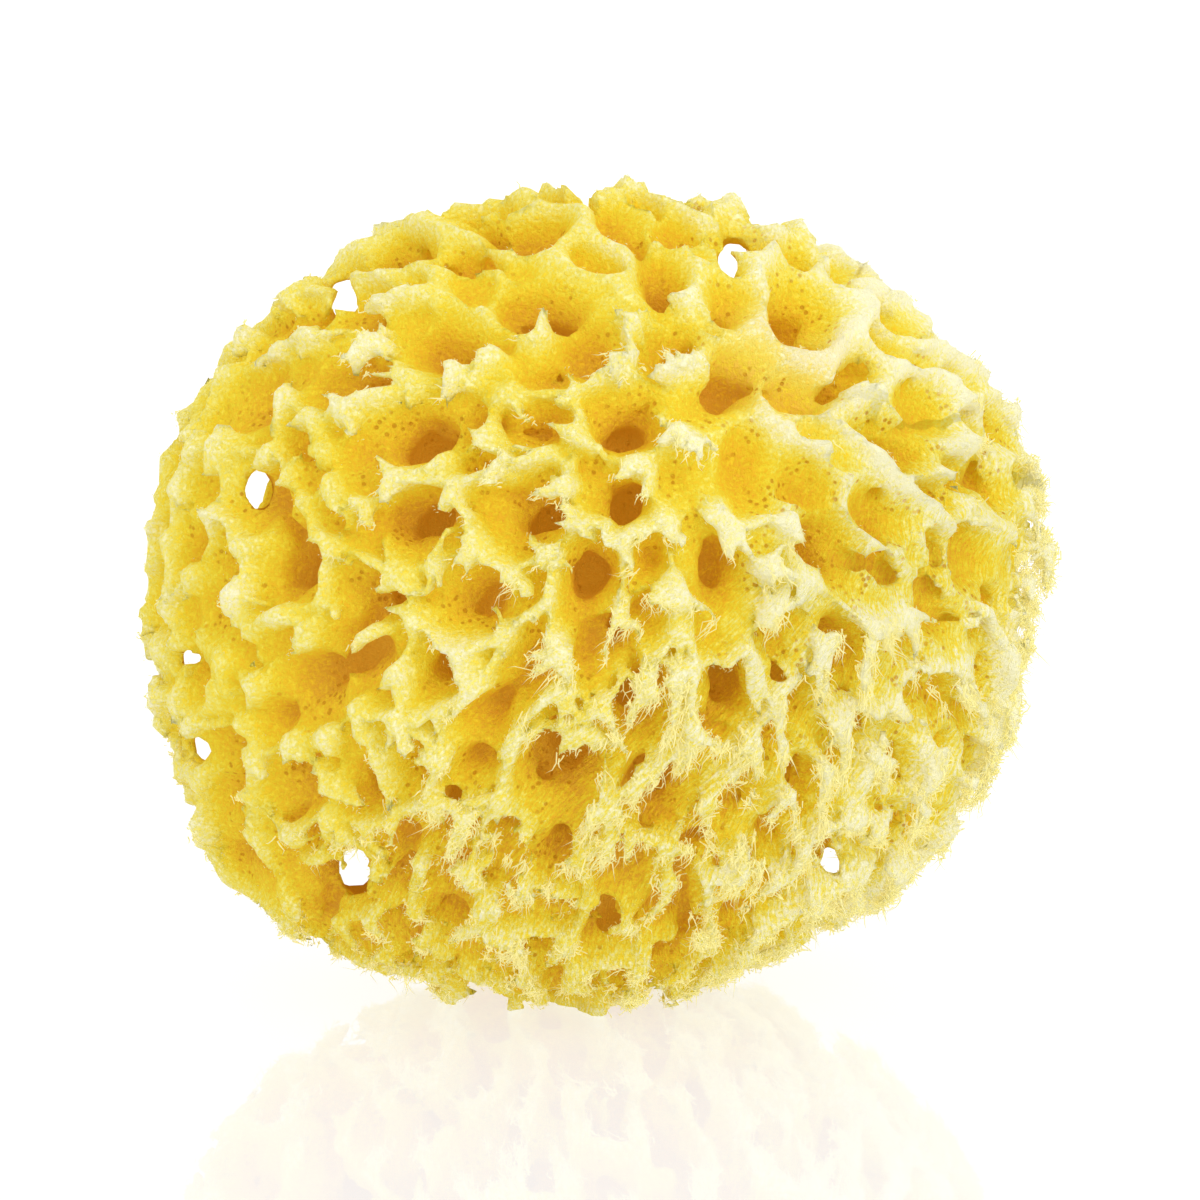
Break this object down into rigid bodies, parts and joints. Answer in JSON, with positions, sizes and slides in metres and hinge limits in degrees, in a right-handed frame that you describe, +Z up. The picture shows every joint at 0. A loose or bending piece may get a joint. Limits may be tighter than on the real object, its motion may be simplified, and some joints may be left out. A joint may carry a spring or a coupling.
{
  "type": "sea sponge",
  "caption": "Round natural bath sponge with a flat cut base and a deep open honeycomb of hollows, crests and tufted tips, for washing and soaking up water",
  "frame": {"origin": "middle of the bounding box in plan, on the plane of the flat cut base", "axes": "X across the broad face, positive to its right, -Y out of the broad face, +Z up from the cut base"},
  "size_m": [0.1422, 0.1136, 0.1294],
  "materials": {
    "sponge_fibre": "matte"
  },
  "bodies": {
    "root": {"sponge": "sponge_fibre"}
  },
  "joints": []
}
